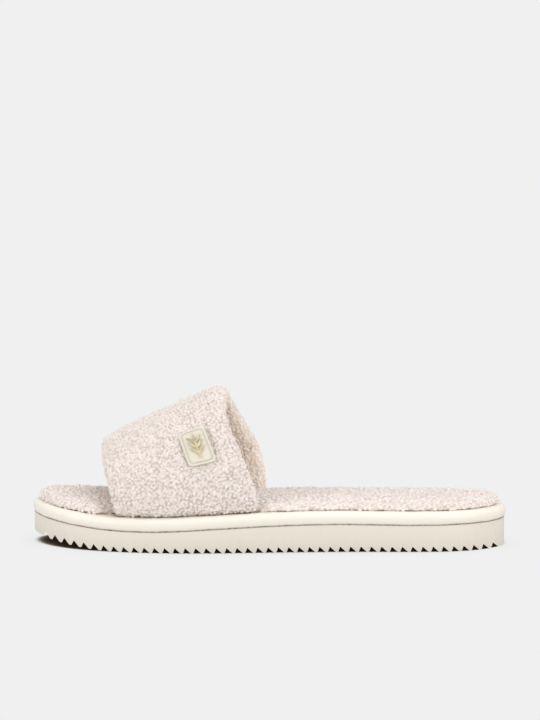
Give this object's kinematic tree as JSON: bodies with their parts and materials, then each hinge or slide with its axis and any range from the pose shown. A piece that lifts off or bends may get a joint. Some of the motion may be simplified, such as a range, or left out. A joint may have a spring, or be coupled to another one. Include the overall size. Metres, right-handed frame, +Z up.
{
  "type": "fluffy house slipper",
  "caption": "Open-toe, open-heel fleece slide slipper with one wide padded band over the foot, a rolled edge strip and a saw-tooth sole.",
  "frame": {"origin": "on the ground, under the middle of the slipper's bounding box", "axes": "+X from the toe to the heel, +Y from the outer side of the foot to the inner side, +Z up"},
  "size_m": [0.26, 0.0968, 0.086],
  "materials": {
    "sole": "satin moulded foam rubber",
    "leatherette": "smooth, fine grain, slight gloss",
    "fleece": "curly boucle pile, matt",
    "lining": "short curly pile, matt",
    "foam": "open-cell foam",
    "board": "pressed fibre board",
    "felt": "felt",
    "tape": "woven tape",
    "thread": "twisted polyester thread",
    "dark_thread": "twisted polyester thread",
    "gilt": "satin gilt"
  },
  "bodies": {
    "root": {"outsole": "sole", "rand": "leatherette", "rand_thread": "dark_thread", "bottom_filler": "felt", "insole_board": "board", "footbed_foam": "foam", "sock_fleece": "fleece", "upper_outer_fleece": "fleece", "upper_foam": "foam", "upper_lining_fleece": "lining", "front_edge_tape": "tape", "rear_edge_tape": "tape", "front_hem_thread": "thread", "rear_hem_thread": "thread", "label_patch": "leatherette", "label_thread": "thread", "label_emblem": "gilt"}
  },
  "joints": []
}
